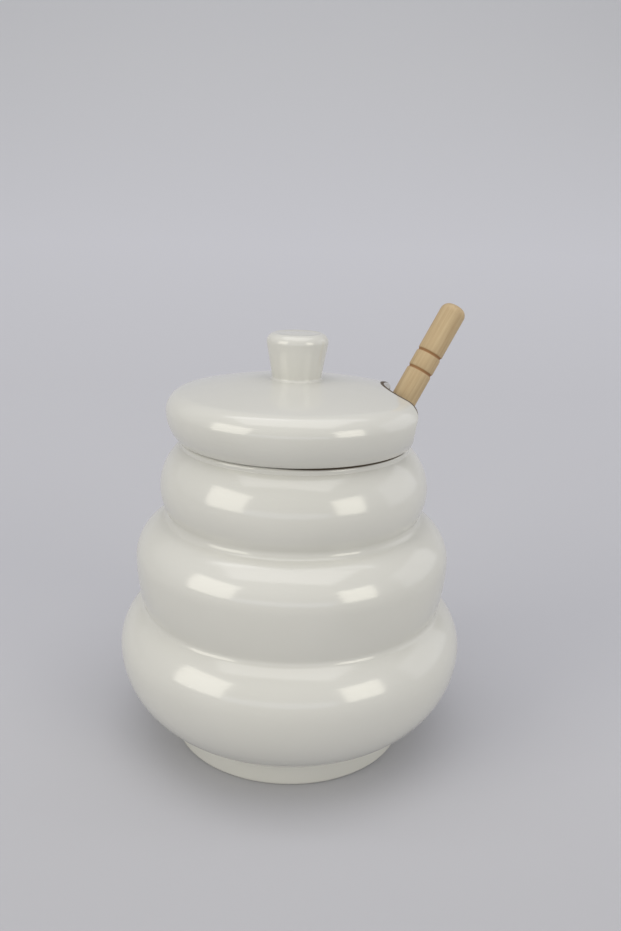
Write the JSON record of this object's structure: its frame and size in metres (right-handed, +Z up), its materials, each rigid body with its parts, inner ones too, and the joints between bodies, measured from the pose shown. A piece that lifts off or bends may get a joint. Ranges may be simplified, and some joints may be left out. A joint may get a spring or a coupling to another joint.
{
  "type": "honey pot with lift-off lid and dipper",
  "caption": "Glazed beehive-shaped stoneware honey pot with a lift-off domed lid, open at a scallop where a wooden dipper leans out",
  "frame": {"origin": "centre of the plane the foot ring stands on, on the axis of the pot", "axes": "+Z up along the pot's axis; the lid's scallop opens towards +X; -Y is the side seen in the picture"},
  "size_m": [0.108, 0.108, 0.138],
  "materials": {
    "cream_glaze": "glossy cream glaze over pale stoneware",
    "beech": "bare turned beech, sanded smooth"
  },
  "bodies": {
    "pot": {"pot": "cream_glaze"},
    "lid": {"lid": "cream_glaze", "lid_knob": "cream_glaze"},
    "dipper": {"dipper_handle": "beech", "dipper_head": "beech"}
  },
  "joints": [
    {"name": "lid_lift", "type": "slide", "parent": "pot", "child": "lid", "axis": [0, 0, 1], "range_m": [0, 0.06]},
    {"name": "dipper_lift", "type": "slide", "parent": "pot", "child": "dipper", "axis": [0.4705, 0.2095, 0.8572], "range_m": [0, 0.045]}
  ]
}
